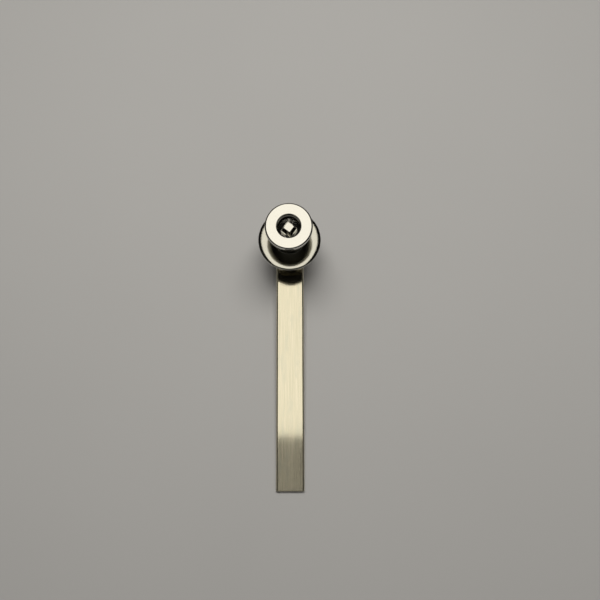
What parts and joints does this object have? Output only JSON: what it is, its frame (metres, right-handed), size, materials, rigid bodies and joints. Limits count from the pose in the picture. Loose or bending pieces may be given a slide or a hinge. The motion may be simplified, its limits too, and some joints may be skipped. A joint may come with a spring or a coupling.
{
  "type": "marine locking latch",
  "caption": "Quarter-turn latch lock with a round knob head, a domed flange, a recessed tapered square key post and a long flat cam bar.",
  "frame": {"origin": "on the lock's axis, in the flange's back face, where it meets its gasket", "axes": "+Z along the axis out of the panel, towards the key; the cam bar points along -Y at rest; +X to the right seen from the key's side with the bar down"},
  "size_m": [0.0444, 0.1972, 0.0684],
  "materials": {
    "turned_stainless": "turned and polished",
    "flat_bar_stainless": "brushed along its length",
    "plain_stainless": "plain machined",
    "black_rubber": "matt moulded",
    "white_acetal": "machined"
  },
  "bodies": {
    "housing": {"lock_body": "turned_stainless", "flange_gasket": "black_rubber", "clamp_washer": "plain_stainless", "tooth_washer": "plain_stainless", "mounting_nut": "plain_stainless", "upper_bush": "white_acetal", "lower_bush": "white_acetal"},
    "spindle_set": {"drive_spindle": "turned_stainless", "head_seal": "black_rubber", "shaft_seal": "black_rubber", "thrust_washer": "plain_stainless", "wave_spring": "plain_stainless", "retaining_ring": "plain_stainless", "stop_washer": "plain_stainless", "cam_bar": "flat_bar_stainless", "cam_washer": "plain_stainless", "split_washer": "plain_stainless", "cam_screw": "plain_stainless"}
  },
  "joints": [
    {"name": "spindle_turn", "type": "hinge", "parent": "housing", "child": "spindle_set", "pos_m": [0, 0, 0], "axis": [0, 0, 1], "range_deg": [0, 90]}
  ]
}
